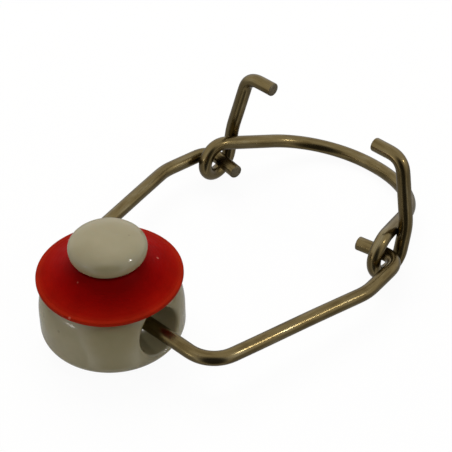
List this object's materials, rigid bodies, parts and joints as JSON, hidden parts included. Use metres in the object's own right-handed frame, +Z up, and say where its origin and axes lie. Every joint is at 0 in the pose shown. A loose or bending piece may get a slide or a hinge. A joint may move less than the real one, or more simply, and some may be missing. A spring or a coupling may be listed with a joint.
{
  "type": "swing-top bottle stopper",
  "caption": "Swing-top bottle stopper: glazed porcelain plug with red rubber washer, steel bail through its cross-hole, and a steel lever with looped pivots and hook tips.",
  "frame": {"origin": "on the stopper's axis, in the flat face that the head stands on", "axes": "+X along the cross-hole, +Y from the stopper to the pivot loops, +Z up along the stopper's axis to its knob"},
  "size_m": [0.0537, 0.081, 0.0238],
  "materials": {
    "porcelain": "glazed, cream grey",
    "red_rubber": "moulded, satin",
    "steel_wire": "drawn wire, lightly tarnished"
  },
  "bodies": {
    "stopper": {"stopper_head": "porcelain", "sealing_washer": "red_rubber"},
    "bail": {"bail_wire": "steel_wire"},
    "lever": {"lever_wire": "steel_wire"}
  },
  "joints": [
    {"name": "bail_hinge", "type": "hinge", "parent": "stopper", "child": "bail", "pos_m": [0, 0, 0.0075], "axis": [1, 0, 0], "continuous": true},
    {"name": "lever_hinge", "type": "hinge", "parent": "bail", "child": "lever", "pos_m": [0.00525, 0.04433, 0.00502], "axis": [1, 0, 0], "continuous": true}
  ]
}
